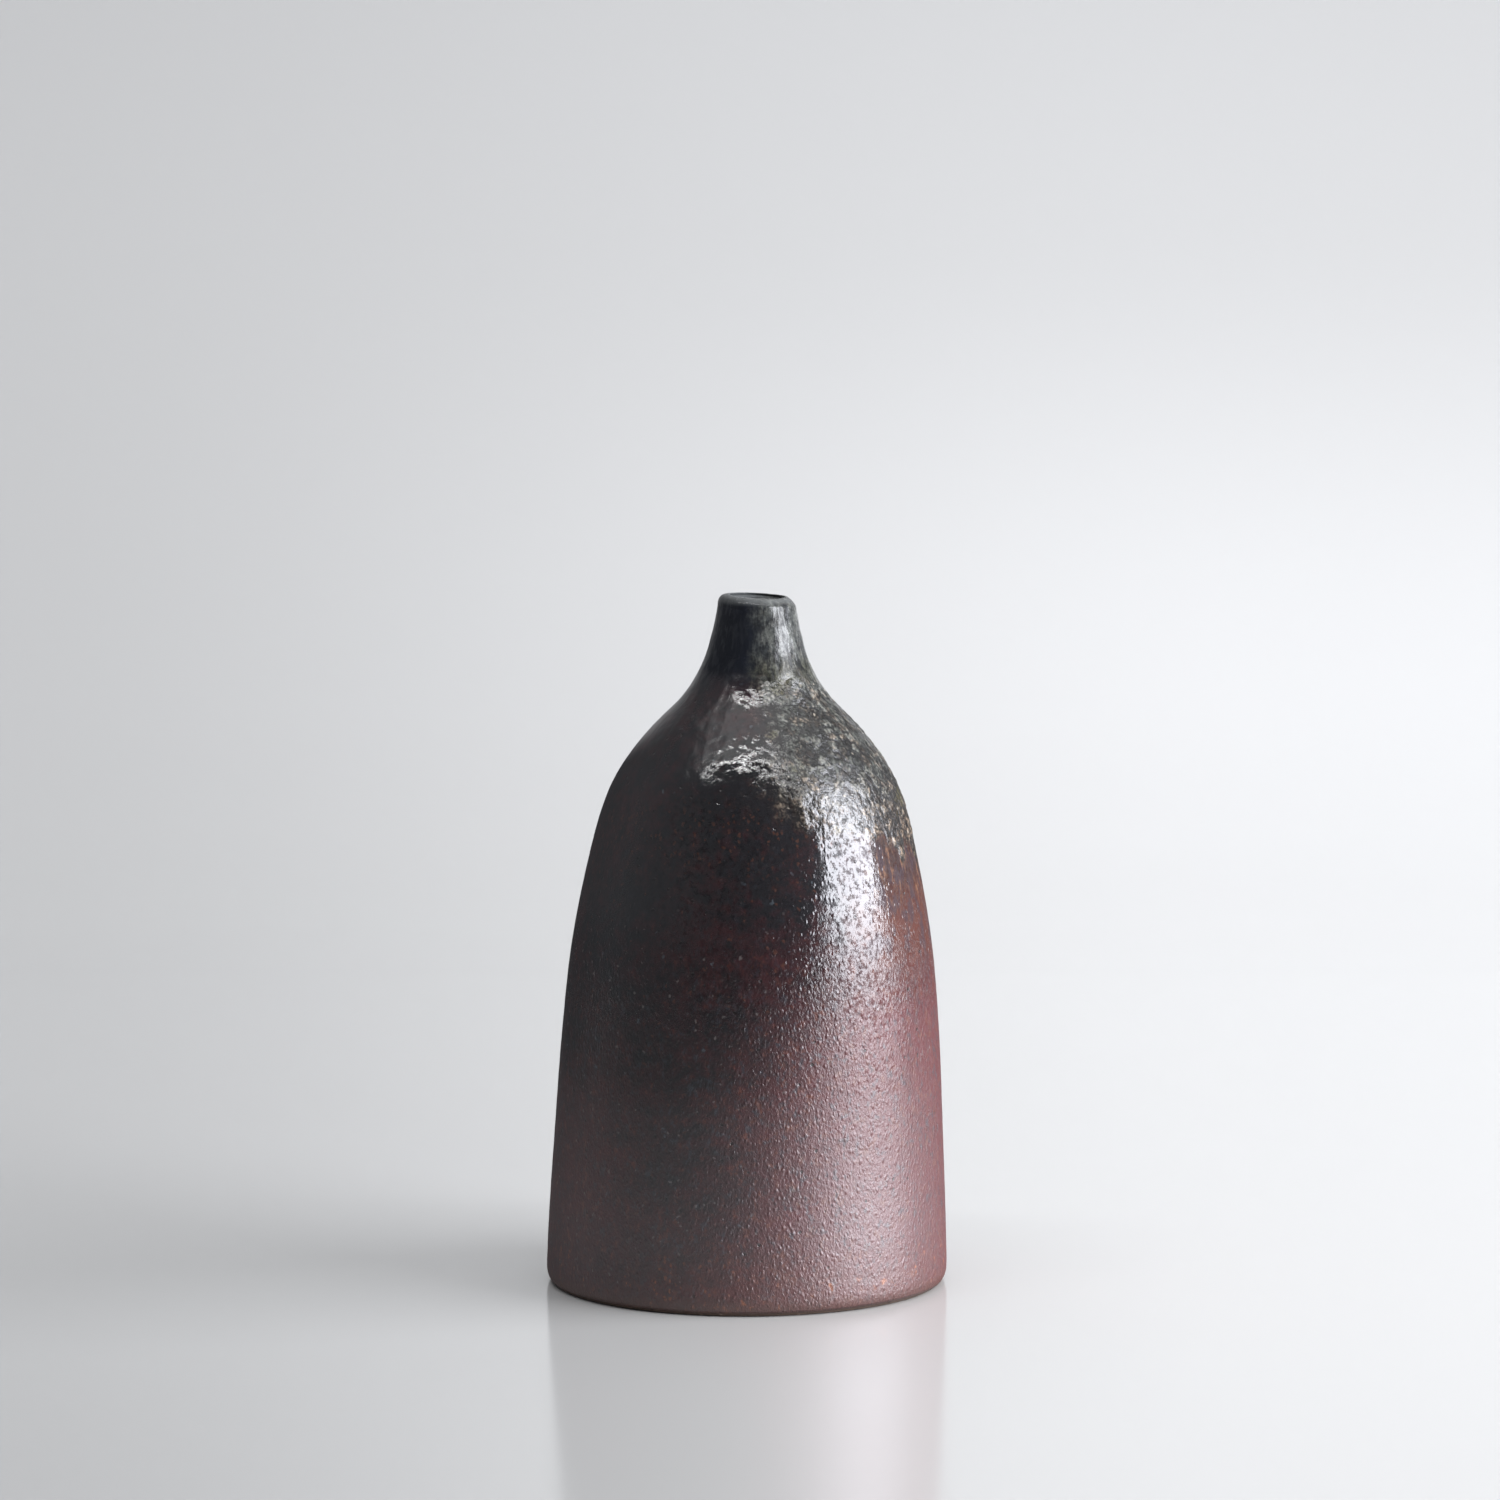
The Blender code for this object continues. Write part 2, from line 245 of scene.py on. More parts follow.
def ash_fields(points, theta):
    """Thickness in mm, share of ash 0..1, height within an island 0..1, and the island's tone."""
    z = points[..., 2]
    side = ash_side(theta)
    # Height over the edge, made ragged at two sizes.
    ragged = z - ash_edge(theta) + 3.0 * noise(points, 9.0, 11) + 1.8 * noise(points, 3.2, 12)
    # Narrow runs hang below the edge where the glaze is thick.
    around = np.stack([theta * 15.0, z / 20.0, np.zeros_like(z)], axis=-1)
    runs = smoothstep(0.05, 0.70, noise(around, 1.0, 13)) * smoothstep(0.35, 0.95, side)
    ragged = ragged + 5.5 * runs
    cover = smoothstep(-2.0, 6.0, ragged)
    # Cells with bent borders are the islands, which melt together on the neck.
    bent = points + 0.5 * np.stack([noise(points, 1.9, seed) for seed in (16, 17, 18)], axis=-1)
    near, after, mark = cells(bent * (1.0, 1.0, 0.90), 2.05, 14)
    island = smoothstep(0.0, 0.30, after - near)
    neck = smoothstep(114.0, 122.0, z)
    island = island + (0.75 - island) * 0.8 * neck
    thick = 0.22 * cover * (0.18 + 0.82 * side) * (0.30 + 0.70 * island * (0.3 + 0.7 * mark))
    thick = thick + 0.04 * cover * side * noise(points, 1.4, 15)
    share = cover * (0.04 + 0.96 * side ** (1.0 + 0.8 * (1.0 - neck)))
    # Past its edge the glaze sinks into the iron coat.
    sunk = -0.10 * (1.0 - smoothstep(-6.0, -2.0, ragged))
    thick = thick - 0.035 * (1.0 - cover) + 0.01 * cover + sunk
    return thick, np.clip(share, 0.0, 1.0), island, mark


def coat_relief(points, theta):
    """Relief of the iron coat in mm: wobble of the wall, throwing rings and orange peel."""
    z = points[..., 2]
    bearing = from_front(theta)
    body = smoothstep(4.0, 9.0, z) * (1.0 - smoothstep(126.0, 134.0, z))
    spiral = z + 0.9 * theta / (2 * np.pi) * RING_PITCH + 1.3 * noise(points, 26.0, 21)
    rings = 0.007 * np.sin(2 * np.pi * spiral / RING_PITCH)
    wavy_z = z + 0.3 * noise(points, 12.0, 22)
    foot_lines = 0.012 * np.sin(2 * np.pi * wavy_z / FOOT_LINE_PITCH)
    foot_lines = foot_lines * (1.0 - smoothstep(13.0, 26.0, z))
    foot_lines = foot_lines * smoothstep(-0.1, 0.5, noise(points, 14.0, 23))
    slow = 0.05 * noise(points, 34.0, 26)
    # The glossy shoulder has run into soft lumps except on the satin left.
    upper = smoothstep(86.0, 100.0, z) * (1.0 - 0.6 * smoothstep(119.0, 125.0, z))
    glossy = smoothstep(-74.0, -34.0, bearing) * (1.0 - smoothstep(120.0, 170.0, bearing))
    upper = upper * (0.12 + 0.88 * glossy)
    top = smoothstep(108.0, 116.0, z)
    coarse = noise(points * (1.0, 1.0, 0.75), 2.9, 24)
    peel = (0.012 + (0.022 + 0.042 * top) * upper) * coarse
    fine = noise(points * (1.0, 1.0, 0.7), 1.7, 25)
    peel = peel + (0.010 + (0.034 + 0.030 * top) * upper) * fine
    return body * (rings + foot_lines + slow) + peel * smoothstep(1.0, 5.0, z)


def lip_shaping(points, theta):
    """The lip is crisper on -X and rounder on +X."""
    radius, z = np.hypot(points[..., 0], points[..., 1]), points[..., 2]
    corner = np.exp(-(((radius - 7.0) / 1.0) ** 2) - (((z - 136.0) / 1.2) ** 2))
    return corner * (0.04 - 0.24 * np.cos(theta))


def slow_fields(points, theta):
    """The fields that the fired surface's material reads, at points of the turned form."""
    z = points[..., 2]
    bearing = from_front(theta)
    wander = noise(points, 28.0, 31)
    upper = smoothstep(44.0, 78.0, z)
    near_side = 1.0 - smoothstep(120.0, 170.0, bearing)
    right = smoothstep(-18.0 + 38.0 * upper, 42.0 + 16.0 * upper, bearing) * near_side
    left = 1.0 - smoothstep(-62.0, -20.0, bearing) * near_side

    # Roughness: satin low down and on the left, glossy on the shoulder, matt at the top.
    rough = 0.46 - 0.35 * smoothstep(30.0, 80.0, z + 4.0 * wander)
    rough = rough - 0.03 * smoothstep(94.0, 102.0, z)
    rough = rough + 0.21 * left * smoothstep(60.0, 84.0, z)
    turning = smoothstep(-8.0, -30.0, bearing) * smoothstep(98.0, 106.0, z)
    rough = rough + 0.14 * turning * (1.0 - left)
    matt = smoothstep(121.5, 126.0, z + 2.0 * noise(points, 7.0, 33))
    rough = rough + (0.15 + 0.24 * left - rough) * matt
    dull = smoothstep(121.0, 122.5, z)
    dull = dull * (1.0 - smoothstep(124.0, 127.0, z + 2.0 * noise(points, 5.0, 34)))
    rough = rough + 0.14 * dull * (1.0 - left)

    # Shine: the strength of reflections, weaker up the wall and on its right.
    shine = 0.81 - 0.32 * smoothstep(4.0, 56.0, z) - 0.19 * matt
    shine = shine * (1.0 - 0.55 * dull) * (0.86 + 0.14 * smoothstep(3.0, 16.0, z))
    right_edge = 0.52 * smoothstep(46.0, 78.0, bearing) * near_side
    shine = shine * (1.0 - right_edge * (1.0 - smoothstep(90.0, 110.0, z)))
    middle = 0.20 * smoothstep(36.0, 48.0, z) * (1.0 - smoothstep(68.0, 80.0, z))
    shine = shine * (1.0 - middle)

    # Flat: how far normals lean to the eye, on the two sides of the wall.
    low_wall = 1.0 - smoothstep(98.0, 112.0, z)
    flat_left = smoothstep(-46.0, -76.0, bearing)
    flat_left = flat_left * (1.0 - smoothstep(-130.0, -160.0, bearing)) * low_wall
    flat_right = smoothstep(54.0, 78.0, bearing) * near_side * low_wall

    # Warm: the share of wine brown in the iron.
    fading = 1.0 - 0.62 * smoothstep(70.0, 84.0, z + 3.0 * wander)
    warm = 0.08 + 0.92 * right * (1.0 - 0.45 * upper) * fading
    warm = warm + (0.26 * left + 0.16) * (1.0 - smoothstep(18.0, 60.0, z))
    warm = warm + 0.10 * noise(points, 22.0, 32)
    _, ash, island, mark = ash_fields(points, theta)
    return {
        "rough": rough,
        "shine": shine,
        "warm": np.clip(warm, 0.0, 1.0),
        "flat": 0.60 * flat_left + 0.34 * flat_right,
        "ash": ash,
        "island": island,
        "tone": mark,
    }


# --- mesh building -----------------------------------------------------------------------------
def handmade(radius, theta, z):
    """Where a point of the turned shape ends up: the wall leans and the lip dips to +X."""
    x, y = radius * np.cos(theta), radius * np.sin(theta)
    z = z - RIM_TILT * x * smoothstep(RIM_TILT_FROM_Z, LIP_CREST_Z, z)
    return np.stack([(x + LEAN * z) * MM, y * MM, z * MM], axis=-1)


def column_angles(columns):
    return np.linspace(0.0, 2 * np.pi, columns, endpoint=False)[None, :]


def section_of(path):
    """Radius, z, and the normal's radius and z, each with one row for a point of the path."""
    return np.hstack([path, normals_of(path)]).T[:, :, None]


def turned(section, columns, lift=lambda points, theta: 0.0):
    """The section turned about Z and moved off itself by lift(points, theta) mm.
    Gives the finished points (rows, columns, 3), the unlifted points and their angles."""
    radius, z, normal_r, normal_z, theta = np.broadcast_arrays(*section, column_angles(columns))
    points = np.stack([radius * np.cos(theta), radius * np.sin(theta), z], axis=-1)
    height = lift(points, theta)
    return handmade(radius + normal_r * height, theta, z + normal_z * height), points, theta


def ring_faces(index, closed):
    """Faces between rings of vertex numbers; a triangle's fourth number is -1."""
    faces = []
    rows = len(index)
    for row in range(rows - 1 if closed else rows):
        ring, after = index[row], index[(row + 1) % rows]
        ring_next, after_next = np.roll(ring, -1), np.roll(after, -1)
        if ring[0] == ring[1]:
            corners = [ring, after, after_next, -np.ones_like(ring)]
        elif after[0] == after[1]:
            corners = [ring, after, ring_next, -np.ones_like(ring)]
        else:
            corners = [ring, after, after_next, ring_next]
        faces.append(np.column_stack(corners))
    return np.concatenate(faces)


def make_piece(name, grids, closed, material, node):
    """One mesh from turned grids laid end to end.
    Closed: the first and last rings lie on the axis and become points.
    Otherwise it is a coat: the last ring joins the first, and it carries the glaze fields."""
    placed, points, theta = (np.concatenate(part) for part in zip(*grids))
    index = np.arange(theta.size).reshape(theta.shape)
    if closed:
        index[0] = index[0, 0]
        index[-1] = index[-1, 0]
    faces = ring_faces(index, closed)
    real = faces[faces >= 0]
    used = np.unique(real)
    renumber = -np.ones(theta.size, np.int64)
    renumber[used] = np.arange(len(used))
    sizes = np.where(faces[:, 3] < 0, 3, 4)
    starts = np.concatenate([[0], np.cumsum(sizes)[:-1]])
    mesh = bpy.data.meshes.new(name)
    mesh.vertices.add(len(used))
    mesh.vertices.foreach_set("co", placed.reshape(-1, 3)[used].astype(np.float32).ravel())
    mesh.loops.add(len(real))
    mesh.loops.foreach_set("vertex_index", renumber[real].astype(np.int32))
    mesh.polygons.add(len(faces))
    mesh.polygons.foreach_set("loop_start", starts.astype(np.int32))
    mesh.update(calc_edges=True)
    mesh.validate()
    if not closed:
        for field, values in slow_fields(points, theta).items():
            layer = mesh.attributes.new(field, "FLOAT", "POINT")
            layer.data.foreach_set("value", values.reshape(-1)[used].astype(np.float32))
    mesh.shade_smooth()
    mesh.materials.append(material)
    piece = bpy.data.objects.new(name, mesh)
    bpy.context.scene.collection.objects.link(piece)
    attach(piece, "root")
    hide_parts(node)


# --- node graphs -------------------------------------------------------------------------------
class Signal:
    """An output socket of a graph; sums and products of signals add math nodes."""

    def __init__(self, graph, socket):
        self.graph, self.socket = graph, socket

    def __add__(self, other):
        return self.graph.math("ADD", self, other)

    def __mul__(self, other):
        return self.graph.math("MULTIPLY", self, other)

    def clamped_add(self, other):
        return self.graph.math("ADD", self, other, clamp=True)

    def larger(self, other):
        return self.graph.math("MAXIMUM", self, other)

    def swing(self, amount):
        """A signal about 0.5 turned into one about 0, times the amount."""
        return (self + -0.5) * amount

    def ramp(self, start, end, first=0.0, last=1.0):
        """An eased ramp with the value first at start and last at end."""
        inputs = {"Value": self, "From Min": start, "From Max": end, "To Min": first, "To Max": last}
        return self.graph.make("MapRange", "Result", inputs, interpolation_type="SMOOTHSTEP")


class Graph:
    """A thin layer over the node tree of a material or world."""

    def __init__(self, owner):
        owner.use_nodes = True
        self.tree = owner.node_tree
        self.tree.nodes.clear()

    def put(self, socket, value):
        if isinstance(value, Signal):
            self.tree.links.new(value.socket, socket)
            return
        if hasattr(value, "__len__") and len(value) < len(socket.default_value):
            value = (*value, 1.0)
        socket.default_value = value

    def node(self, kind, inputs, **settings):
        node = self.tree.nodes.new("ShaderNode" + kind)
        for key, value in settings.items():
            setattr(node, key, value)
        for key, value in inputs.items():
            self.put(node.inputs[key], value)
        return node

    def make(self, kind, output, inputs, **settings):
        return Signal(self, self.node(kind, inputs, **settings).outputs[output])

    def math(self, operation, first, second, clamp=False):
        inputs = {0: first, 1: second}
        return self.make("Math", "Value", inputs, operation=operation, use_clamp=clamp)

    def vector(self, operation, *values, **named):
        inputs = {**dict(enumerate(values)), **named}
        return self.make("VectorMath", "Vector", inputs, operation=operation)

    def split(self, vector):
        node = self.node("SeparateXYZ", {"Vector": vector})
        return [Signal(self, output) for output in node.outputs]

    def mix(self, share, under, over, blend="MIX"):
        inputs = {"Factor": share, "A": under, "B": over}
        return self.make("Mix", "Result", inputs, data_type="RGBA", blend_type=blend)


class Material(Graph):
    """A principled material with textures laid out in mm.

    Textures take a feature size in mm, z_scale (below 1 draws features out along Z) and a shift
    that keeps them from lining up.
    """

    def __init__(self, name):
        self.material = bpy.data.materials.new(name)
        super().__init__(self.material)
        self.shader = self.node("BsdfPrincipled", {})
        self.node("OutputMaterial", {"Surface": Signal(self, self.shader.outputs["BSDF"])})
        self.mm = self.vector("SCALE", self.make("TexCoord", "Object", {}), Scale=1 / MM)

    def set(self, **values):
        for key, value in values.items():
            self.put(self.shader.inputs[key.replace("_", " ")], value)

    def shifted(self, where, shift):
        return self.vector("ADD", where, (shift, shift * 0.7, shift * 1.3))

    def stretched(self, z_scale):
        return self.vector("MULTIPLY", self.mm, (1.0, 1.0, z_scale))

    def noise(self, size, detail=2.0, rough=0.5, z_scale=1.0, shift=0.0, distortion=0.0):
        """Noise, 0..1 about 0.5."""
        inputs = {
            "Vector": self.shifted(self.stretched(z_scale), shift),
            "Scale": 1.0 / size,
            "Detail": detail,
            "Roughness": rough,
            "Distortion": distortion,
        }
        return self.make("TexNoise", "Fac", inputs)

    def cells(self, size, z_scale, shift):
        """Distance from the nearest cell centre, in cells."""
        where = self.shifted(self.stretched(z_scale), shift)
        return self.make("TexVoronoi", "Distance", {"Vector": where, "Scale": 1.0 / size})

    def spots(self, size, radius, share, shift, z_scale=1.0, wobble=0.5):
        """Irregular spots of a radius given in cells, in a share of the cells."""
        where = self.vector("ADD", self.mm, (shift, shift, shift))
        inputs = {"Vector": where, "Scale": 1.6 / size, "Detail": 2.0}
        bend = self.vector("ADD", self.make("TexNoise", "Color", inputs), (-0.5, -0.5, -0.5))
        bend = self.vector("SCALE", bend, Scale=wobble * size)
        where = self.shifted(self.vector("ADD", self.stretched(z_scale), bend), shift)
        node = self.node("TexVoronoi", {"Vector": where, "Scale": 1.0 / size})
        distance, colour = (Signal(self, node.outputs[key]) for key in ("Distance", "Color"))
        chosen = self.make("SeparateColor", 0, {"Color": colour}).ramp(share + 0.02, share - 0.02)
        return distance.ramp(radius, radius * 0.55) * chosen

    def field(self, name):
        return self.make("Attribute", "Fac", {}, attribute_name=name)

    def bump(self, height):
        """A bump whose height is in metres."""
        return self.make("Bump", "Normal", {"Height": height, "Distance": 1.0, "Strength": 1.0})

    def towards_eye(self, normal, share):
        """The normal leaned to the eye, which takes the sheen off a wall seen edge on."""
        eye = self.vector("SCALE", self.make("NewGeometry", "Incoming", {}), Scale=share)
        return self.vector("NORMALIZE", self.vector("ADD", normal, eye))


# --- the fired surface -------------------------------------------------------------------------
# Iron colours, linear RGB.
BLACK_IRON, WINE = (0.0104, 0.0096, 0.0108), (0.0790, 0.0165, 0.0180)
BROWN, HIGH_BROWN = (0.078, 0.0265, 0.0170), (0.030, 0.0165, 0.0130)
RUST, DARK_BROWN = (0.105, 0.035, 0.023), (0.034, 0.0125, 0.0100)
BLUE_GREY, CRYSTAL = (0.030, 0.034, 0.042), (0.085, 0.105, 0.120)
FRECKLE, SPARK, DROP = (0.090, 0.036, 0.022), (0.185, 0.064, 0.028), (0.260, 0.086, 0.034)
# The pit colour is painted shade, near black inside the pits.
PALE_GRIT, PIT_SHADE = (0.150, 0.135, 0.130), (0.006, 0.004, 0.004)
FOOT_BROWN, THIN_HEEL = (0.100, 0.030, 0.025), (0.078, 0.030, 0.021)
# Ash colours; the triples run from dark to pale.
GREENS = (0.0150, 0.0145, 0.0135), (0.042, 0.044, 0.039), (0.100, 0.098, 0.086)
TANS = (0.0150, 0.0110, 0.0090), (0.044, 0.031, 0.023), (0.150, 0.112, 0.080)
OLIVE, SEED, BETWEEN_ISLANDS = (0.055, 0.049, 0.019), (0.215, 0.190, 0.155), (0.0115, 0.0112, 0.0110)
NECK_DARK, NECK_PALE = (0.0190, 0.0208, 0.0225), (0.092, 0.096, 0.088)
NECK_OLIVE_DARK, NECK_OLIVE = (0.008, 0.008, 0.006), (0.048, 0.046, 0.022)
# The lip colour is painted light: a paler grey for the top of the lip, where light from above falls.
NECK_BED, LIP_TOP_PAINTED_LIGHT = (0.0105, 0.0120, 0.0165), (0.120, 0.126, 0.124)
LILAC, AMBER = (0.038, 0.0245, 0.0300), (0.190, 0.098, 0.054)


class FiredSurface(Material):
    """The iron coat and, where the ash field says, the ash glaze over it.

    Ramps of z place an effect by height in mm, and ramps of across place it from left to right.
    """

    def __init__(self, name):
        super().__init__(name)
        self.rough, self.ash, self.island = map(self.field, ("rough", "ash", "island"))
        self.z, self.across = self.split(self.mm)[2], self.split(self.mm)[0]
        self.neck = self.z.ramp(117, 124)
        self.fine = self.noise(0.30, rough=0.6, shift=5)
        self.mottle = self.noise(2.6, detail=4, rough=0.6, shift=11)
        self.broad = self.noise(15, detail=3, rough=0.55, shift=23)
        self.bands = self.noise(9, detail=3, rough=0.6, z_scale=2.4, shift=107)
        self.crumbs = self.noise(0.9, detail=3, rough=0.65, shift=67)
        self.streaks = self.noise(0.95, detail=3, rough=0.6, z_scale=0.16, shift=83)
        self.pits = self.spots(2.6, radius=0.16, share=0.35, shift=29, wobble=0.2)
        blotch = self.noise(2.2, detail=4, rough=0.65, z_scale=0.5, shift=87)
        self.streaky = (self.streaks * 0.5 + blotch * 0.5).ramp(0.41, 0.61)
        self.shown = (self.ash + self.mottle.swing(0.5)).ramp(0.08, 0.55)

        warmth = self.field("warm") + self.mottle.swing(0.75)
        warmth = warmth + self.bands.swing(self.z.ramp(70, 40, last=0.60))
        warmth = warmth.clamped_add(self.broad.swing(0.40))
        bed = self.ash_bed(self.iron_foot(self.iron_specks(self.iron_ground(warmth)), warmth))
        colour = self.mix(self.shown, bed, self.ash_glaze())
        # The lip's top is painted paler grey, painted light where the light from above falls on it.
        colour = self.mix(self.z.ramp(135.2, 136.3, last=0.55), colour, LIP_TOP_PAINTED_LIGHT)
        skin, specular = self.gloss()
        self.set(
            Base_Color=colour,
            Roughness=skin,
            IOR=1.55,
            Specular_IOR_Level=specular,
            Normal=self.towards_eye(self.bump(self.relief()), self.field("flat")),
        )

    def iron_ground(self, warmth):
        """Near black where glossy or turned away from the fire, wine brown and rust elsewhere."""
        z, across = self.z, self.across
        iron = self.mix(warmth, BLACK_IRON, WINE)
        brown = (across + self.mottle.swing(14)).ramp(16, 30) * z.ramp(56, 74)
        iron = self.mix(brown * 0.75, iron, self.mix(z.ramp(72, 88), BROWN, HIGH_BROWN))
        self.below = (z + self.broad.swing(12)).ramp(104, 94)
        rust = self.noise(1.5, detail=4, rough=0.65, shift=31, z_scale=0.75).ramp(0.53, 0.68)
        rust = rust * z.ramp(54, 84, first=1, last=0.45)
        warm_share = self.below * warmth.ramp(0, 0.6, first=0.05, last=0.82)
        iron = self.mix(rust * warm_share, iron, RUST)
        patches = self.noise(3.4, detail=4, rough=0.65, shift=33).ramp(0.52, 0.72)
        fired = across.ramp(-20, 8, first=0.15)
        patches = patches * (self.below * fired) * z.ramp(44, 80, first=0.10, last=0.34)
        iron = self.mix(patches, iron, DARK_BROWN)
        cool = self.noise(1.3, detail=4, rough=0.65, shift=43, z_scale=0.75).ramp(0.52, 0.68)
        return self.mix(cool * z.ramp(75, 50, first=0.15, last=0.62), iron, BLUE_GREY)

    def iron_specks(self, iron):
        z = self.z
        freckles = self.spots(1.5, radius=0.30, share=0.22, shift=17, wobble=1) * self.below
        iron = self.mix(freckles * 0.35, iron, FRECKLE)
        # Rust sparks gather low down and under the edge of the ash.
        low = z.ramp(16, 6) * self.noise(6, shift=37).ramp(0.44, 0.58)
        under_ash = z.ramp(80, 92) * z.ramp(102, 94)
        gather = low.larger(under_ash * 0.22)
        sparks = self.spots(0.95, radius=0.40, share=0.36, shift=53, z_scale=0.7, wobble=1)
        iron = self.mix(sparks * gather * 0.75, iron, SPARK)
        # Blue-grey crystals in loose clusters.
        clusters = self.noise(7, shift=47).ramp(0.52, 0.66)
        crystals = self.spots(1.9, radius=0.26, share=0.32, shift=3, wobble=1.1) * clusters
        iron = self.mix(crystals * 0.45, iron, CRYSTAL)
        # Pale grains lie scattered over the satin wall.
        grit = self.spots(1.7, radius=0.20, share=0.30, shift=61, wobble=0.8)
        iron = self.mix(grit * z.ramp(84, 64, first=0.1) * 0.50, iron, PALE_GRIT)
        # The pits are painted near black: painted shade inside them.
        return self.mix(self.pits * 0.85, iron, PIT_SHADE)

    def iron_foot(self, iron, warmth):
        """Low on the wall the coat is browner, and it thins at the heel."""
        z, across, bands = self.z, self.across, self.bands
        foot = (z + bands.swing(14)).ramp(16, 5) * warmth.ramp(0.1, 0.6, first=0.35)
        foot = foot * across.ramp(-28, -6, first=0.20)
        iron = self.mix(foot * 0.34, iron, FOOT_BROWN)
        drops = self.spots(1.7, radius=0.40, share=0.26, shift=57, z_scale=0.7, wobble=1.2)
        drops = drops * (z.ramp(14, 5) * bands.ramp(0.40, 0.54))
        iron = self.mix(drops * across.ramp(-14, 4, first=0.10, last=0.85), iron, DROP)
        thin = (z + self.mottle.swing(3)).ramp(4.6, 0.8)
        return self.mix(thin * 0.60, iron, THIN_HEEL)

    def ash_glaze(self):
        """Tan where thin, grey-green where thick, nearly black between its islands."""
        z, neck, island, crumbs = self.z, self.neck, self.island, self.crumbs
        # Each island has its own tone.
        pale = self.field("tone") * 0.75 + crumbs.swing(1.9) + self.mottle.swing(0.5)
        green = self.mix(pale.ramp(0.05, 0.50), *GREENS[:2])
        green = self.mix(pale.ramp(0.42, 0.95), green, GREENS[2])
        tan = self.mix(pale.ramp(0.00, 0.45), *TANS[:2])
        tan = self.mix(pale.ramp(0.40, 0.95), tan, TANS[2])
        height_up = (z + self.broad.swing(14) + crumbs.swing(16)).ramp(90, 106)
        browner = self.noise(3.2, detail=3, rough=0.6, shift=73).ramp(0.47, 0.60)
        glaze = self.mix(height_up * browner.ramp(0, 1, first=1, last=0.45), tan, green)
        olive = self.noise(7, shift=71).ramp(0.62, 0.72)
        glaze = self.mix(olive * 0.50, glaze, OLIVE)
        seeds = self.spots(1.25, radius=0.34, share=0.24, shift=77, wobble=0.9)
        glaze = self.mix(seeds * island.ramp(0.2, 0.8) * 0.65, glaze, SEED)
        # The neck is streaked up and down, with an olive band low on it.
        neck_tone = self.mix(self.streaky, NECK_DARK, NECK_PALE)
        olive_low = z.ramp(127, 122.5) * z.ramp(118.5, 121)
        neck_olive = self.mix(self.streaky, NECK_OLIVE_DARK, NECK_OLIVE)
        neck_tone = self.mix(olive_low * 0.65, neck_tone, neck_olive)
        glaze = self.mix(neck * 0.80, glaze, neck_tone)
        sandy = self.noise(0.60, rough=0.6, shift=79).ramp(0.37, 0.63, first=0.15, last=2.05)
        glaze = self.mix(neck.ramp(0, 1, first=0.85, last=0.30), glaze, sandy, "MULTIPLY")
        return self.mix(island.ramp(0.80, 0.1, last=0.85), glaze, BETWEEN_ISLANDS)

    def ash_bed(self, iron):
        """The iron under the ash, with amber and lilac brown runs about the ash's edge."""
        z, across = self.z, self.across
        bed = self.mix(self.neck, iron, NECK_BED)
        lilac = self.noise(3.4, detail=4, rough=0.62, z_scale=0.6, shift=119).ramp(0.46, 0.58)
        lilac = lilac * across.ramp(16, 23) * (z.ramp(60, 72) * z.ramp(102, 94))
        bed = self.mix(lilac * 0.72, bed, LILAC)
        runs = self.noise(1.25, detail=4, rough=0.65, z_scale=0.22, shift=91, distortion=0.5)
        runs = runs.ramp(0.51, 0.62)
        amber = runs * across.ramp(20, 27) * (z.ramp(70, 86) * z.ramp(106, 98))
        return self.mix(amber * self.mottle.ramp(0.40, 0.60, first=0.10, last=0.66), bed, AMBER)

    def gloss(self):
        """Roughness and specular level: matt flecks, dry ash crust and dry neck streaks."""
        z, across = self.z, self.across
        flecks = self.noise(1.15, detail=5, rough=0.78, shift=101).ramp(0.47, 0.60)
        flecks = flecks * (self.rough.ramp(0.40, 0.18) * z.ramp(104, 96, first=0.35))
        flecks = flecks * across.ramp(-22, 2, first=0.20)
        skin = self.rough + self.fine.swing(z.ramp(92, 100, first=0.12, last=0.03))
        skin = skin.clamped_add(flecks * 0.10)
        crust = self.shown * self.island.ramp(0.1, 0.6) * (z.ramp(98, 105) * z.ramp(121, 117))
        crust = crust * (across + self.broad.swing(10)).ramp(2, 12)
        skin = skin.clamped_add(crust * 0.22)
        dry_neck = self.neck * self.streaky.ramp(0.95, 0.2, first=0.10, last=0.90)
        dry = crust.larger(dry_neck).ramp(0, 1, first=1, last=0.42)
        return skin, flecks.ramp(0, 1, first=1.24, last=0.30) * dry * self.field("shine")

    def relief(self):
        """Height in metres: a leathery grain on the satin wall melts away on the shoulder."""
        z, neck = self.z, self.neck
        grain = self.noise(0.50, z_scale=0.60, distortion=0.6)
        pebbles = self.cells(1.05, z_scale=0.72, shift=2).ramp(0.42, 0)
        pebbles = pebbles * z.ramp(104, 94, first=0.1)
        melt = (z + self.broad.swing(10)).ramp(50, 98)
        height = grain * melt.ramp(0, 1, first=162e-6, last=4e-6)
        lumps = self.noise(1.35, shift=59, z_scale=0.7)
        height = height + lumps * (z.ramp(44, 64) * z.ramp(112, 100, last=45e-6))
        height = height + pebbles * melt.ramp(0, 1, first=88e-6, last=36e-6)
        height = height + self.fine * melt.ramp(0, 1, first=26e-6, last=2e-6)
        height = height + self.pits * -60e-6
        height = height + self.streaks * (neck * 90e-6)
        height = height + self.crumbs * (self.ash * neck.ramp(0, 1, first=1, last=0.3) * 220e-6)
        ripples = self.noise(1.05, shift=113) * (z.ramp(92, 99) * z.ramp(124, 120))
        return height + ripples * self.across.ramp(-18, -11, first=6e-6, last=50e-6)


